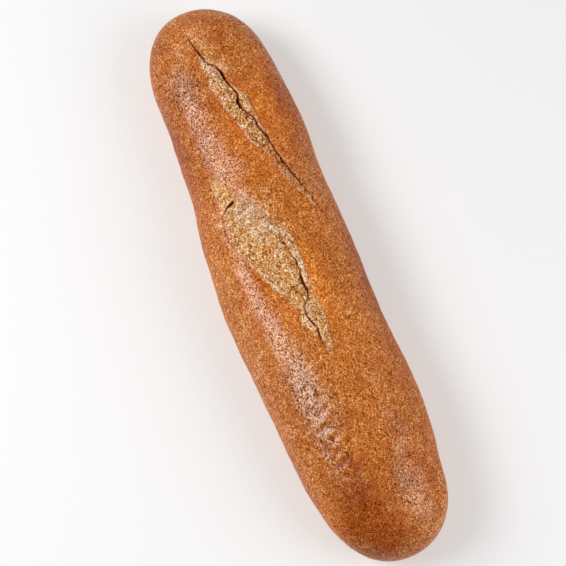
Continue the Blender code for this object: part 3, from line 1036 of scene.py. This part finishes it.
# %% Set the gloss and the grain, and give the skin its material
CRUST_ROUGHNESS, CRUMB_ROUGHER, OWN_GLOSS = 0.5, 0.25, 0.03
COAT_SHARE, COAT_ROUGHNESS, COAT_IOR = 0.57, 0.29, 1.85
BUMP_SIZE, BUMP_DEPTH = 1.3, 0.5 * MM
gloss = (fleck + drift * 0.5).above(0.27, 0.45) * bran.above(0, 0.1)
gloss = gloss * high_share * (1 - underside)
gloss = gloss * (COAT_SHARE + on_mesh["shine"]).above(0, 1)
grain = {"Strength": 1.0, "Distance": BUMP_DEPTH, "Height": noise_in(crust, BUMP_SIZE, 3, 0.6)}
crust.finish({
    "Base Color": surface,
    "Roughness": CRUST_ROUGHNESS + CRUMB_ROUGHER * crumb_mask,
    "Specular IOR Level": OWN_GLOSS,
    "Coat Weight": gloss * (1 - crumb_mask),
    "Coat Roughness": COAT_ROUGHNESS,
    "Coat IOR": COAT_IOR,
    "Normal": crust.node("ShaderNodeBump", {}, grain),
})
skin.data.materials.append(crust_material)

# %% [markdown]
# ## Table
# Food is shown on a pale table, so that its own colour carries the picture. A box could be
# the table, but only its top would ever show, so one large plane does. It lies a hair below
# the base, because two faces in one place flicker. It glows faintly, like a light table,
# which keeps the shadow under the roll soft and pale.

# %% Lay the floor
TABLE_SIZE, TABLE_DROP = 6, 0.2 * MM
TABLE_GREY, TABLE_ROUGHNESS, TABLE_GLOW = 0.72, 0.9, 0.27
bpy.ops.object.select_all(action="DESELECT")
bpy.ops.mesh.primitive_plane_add(size=TABLE_SIZE, location=(0, 0, -TABLE_DROP))
floor = bpy.context.object
floor.name = "floor"
table_material = bpy.data.materials.new("pale_table")
table = Recipe(table_material, "Principled BSDF")
table.finish({
    "Base Color": (TABLE_GREY, TABLE_GREY, TABLE_GREY, 1),
    "Roughness": TABLE_ROUGHNESS,
    "Emission Color": (1, 1, 1, 1),
    "Emission Strength": TABLE_GLOW,
})
floor.data.materials.append(table_material)

# %% [markdown]
# ## Light
# Soft light suits bread: a bare lamp would give it hard, greasy spots. A long soft box on
# the left draws the sheen along the crust, and a weaker one shines on the near end from the
# right. The studio around lights everything else: bright walls that fade to a dim ceiling,
# and a dark curtain on one side, which leaves that flank deeper and so gives the roll form.
# A picture of a real studio could light it too, but this one is a few nodes and no file.


# %% Place the soft boxes
def soft_box(name, start, stop, wide, radiance):
    """A rectangular light that runs from start to stop (in metres) and faces the roll."""
    start, stop = Vector(start), Vector(stop)
    centre, along = (start + stop) / 2, stop - start
    facing = (centre - centre.project(along)).normalized()
    bpy.ops.object.light_add(type="AREA")
    lamp = bpy.context.object
    lamp.name = name
    lamp.data.shape = "RECTANGLE"
    lamp.data.size, lamp.data.size_y = along.length, wide
    lamp.data.energy = radiance * math.pi * along.length * wide
    turned = Matrix((along.normalized(), facing.cross(along).normalized(), facing)).transposed()
    lamp.matrix_world = Matrix.Translation(centre) @ turned.to_4x4()
    print(name, "at", [round(v, 2) for v in centre], "with", round(lamp.data.energy, 2), "W")


soft_box("left_soft_box", (-0.55, -0.60, 0.58), (0.05, -0.56, 0.82), wide=0.38, radiance=6.5)
soft_box("right_soft_box", (0.22, 0.70, 0.50), (0.66, 0.36, 0.76), wide=0.6, radiance=2.4)

# %% Hang the studio walls
CURTAIN_SIDE = (0.8, -0.6, 0)
WALLS = {"From Min": 0.2, "From Max": 0.8, "To Min": 0.6, "To Max": 0.3}
CURTAIN = {"From Min": 0.5, "From Max": 1.0, "To Min": 1.0, "To Max": 0.1}
world = bpy.data.worlds.new("studio_walls")
bpy.context.scene.world = world
sky = Recipe(world, "Background")
towards = sky.node("ShaderNodeTexCoord", {}, {}, "Generated")
upwards = sky.node("ShaderNodeSeparateXYZ", {}, [towards], "Z")
sideways = sky.node("ShaderNodeVectorMath", {"operation": "DOT_PRODUCT"},
                    [towards, CURTAIN_SIDE], "Value")
walls = sky.node("ShaderNodeMapRange", {}, {"Value": upwards, **WALLS})
curtain = sky.node("ShaderNodeMapRange", {}, {"Value": sideways, **CURTAIN})
sky.finish({"Strength": walls * curtain, "Color": (1, 1, 1, 1)})
bpy.context.scene.view_settings.view_transform = "Standard"

# %% [markdown]
# ## Camera
# The camera looks steeply down on the roll from its near end, so the slashes show at their
# full width and the roll runs away up the picture. A long lens from under a metre keeps
# the far end nearly as wide as the near one. The angles say where the camera stands, and
# it is then turned to face the point that it aims at.

# %% Place the camera
AZIMUTH, ELEVATION = math.radians(69.1), math.radians(74.0)
DISTANCE, LENS = 0.85, 107.7
AIM = Vector((3.0, -4.5, 20.0)) * MM
away = Vector((math.sin(AZIMUTH) * math.cos(ELEVATION), -math.cos(AZIMUTH) * math.cos(ELEVATION),
               math.sin(ELEVATION)))
bpy.ops.object.camera_add(location=AIM + away * DISTANCE)
camera = bpy.context.object
camera.rotation_euler = away.to_track_quat("Z", "Y").to_euler()
camera.data.lens = LENS
bpy.context.scene.camera = camera
print("camera at", [round(v, 3) for v in camera.location])

# %% [markdown]
